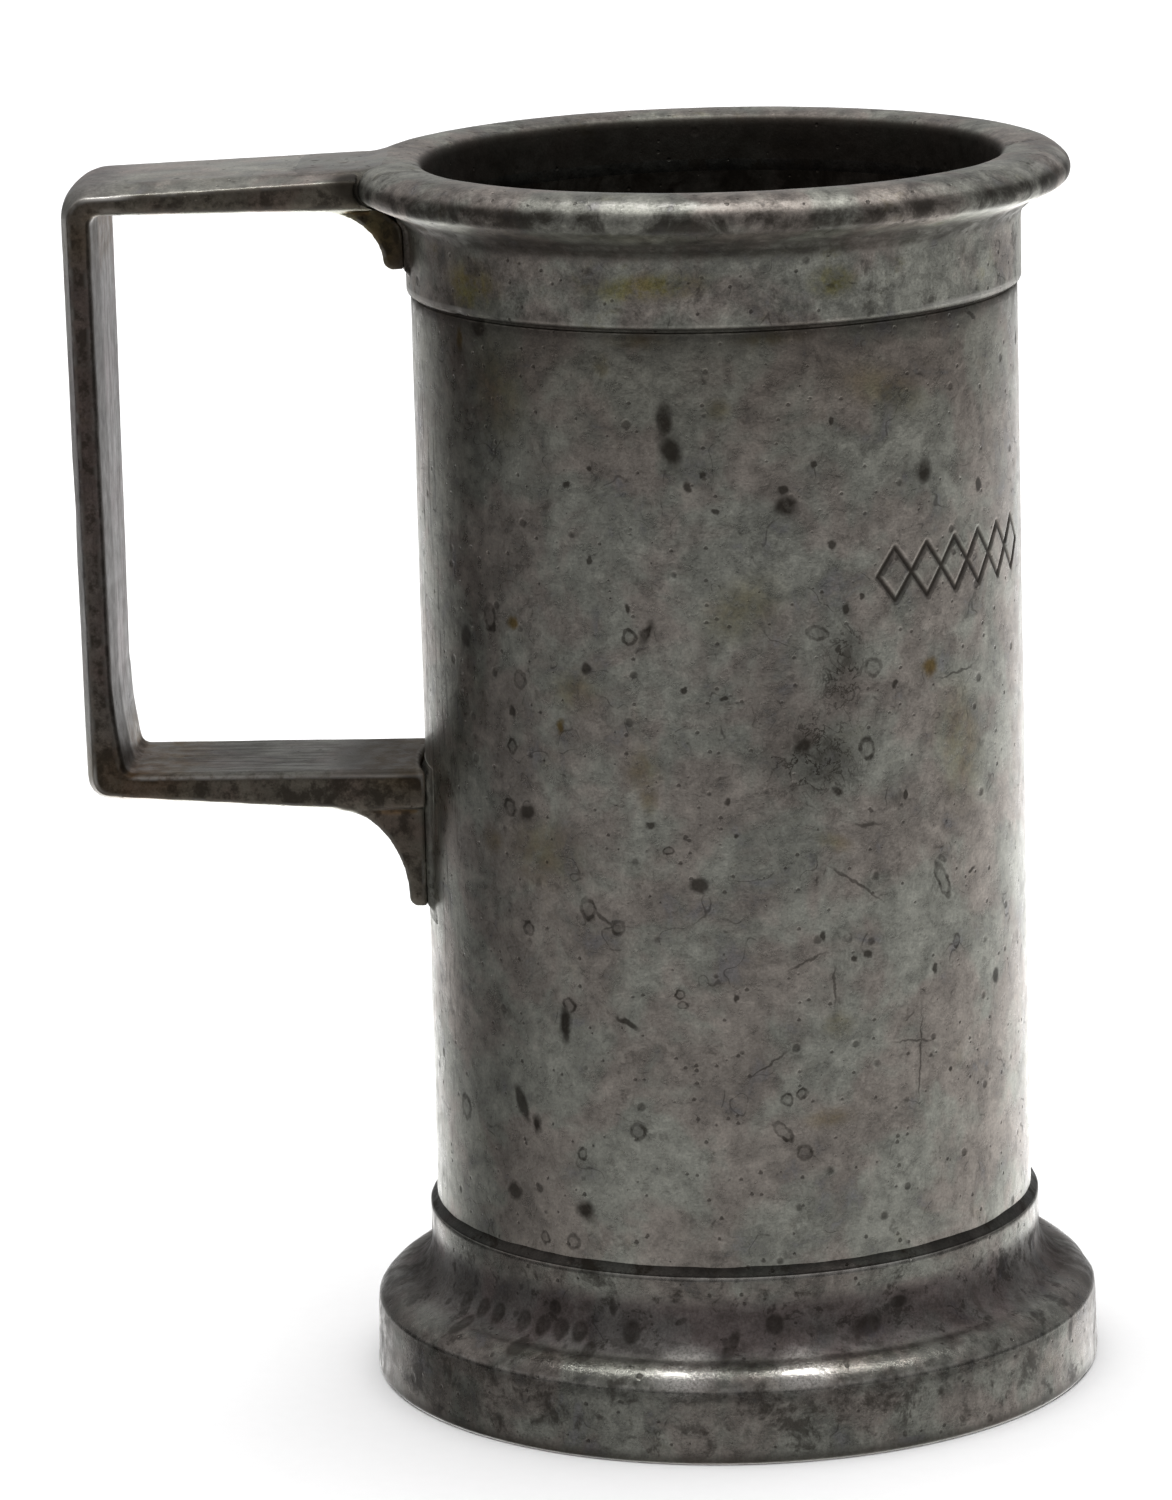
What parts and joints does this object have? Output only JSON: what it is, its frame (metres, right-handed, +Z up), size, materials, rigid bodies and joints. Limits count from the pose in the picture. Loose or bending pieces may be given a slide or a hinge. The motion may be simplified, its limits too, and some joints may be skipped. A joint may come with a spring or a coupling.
{
  "type": "pewter wine measure",
  "caption": "Lidless cylindrical pewter measure with a rolled-out lip, a moulded foot and a square strap handle.",
  "frame": {"origin": "on the resting surface, at the middle of the overall length and width", "axes": "+Z up along the barrel's axis, -X towards the handle, the handle's plane is the XZ plane"},
  "size_m": [0.0894, 0.0652, 0.1096],
  "materials": {
    "pewter_barrel": "dull, mottled and pitted old pewter",
    "pewter_collar": "dull old pewter with greenish-brown stains",
    "pewter_foot": "dull old pewter, worn brighter on the moulding",
    "pewter_base": "dark old pewter",
    "pewter_handle": "dull old pewter, worn brighter on the edges",
    "solder": "dark oxidised pewter solder"
  },
  "bodies": {
    "root": {"barrel": "pewter_barrel", "rim_collar": "pewter_collar", "foot_ring": "pewter_foot", "base_plate": "pewter_base", "handle": "pewter_handle", "collar_solder": "solder", "foot_solder": "solder", "base_solder": "solder", "handle_upper_solder": "solder", "handle_lower_solder": "solder"}
  },
  "joints": []
}
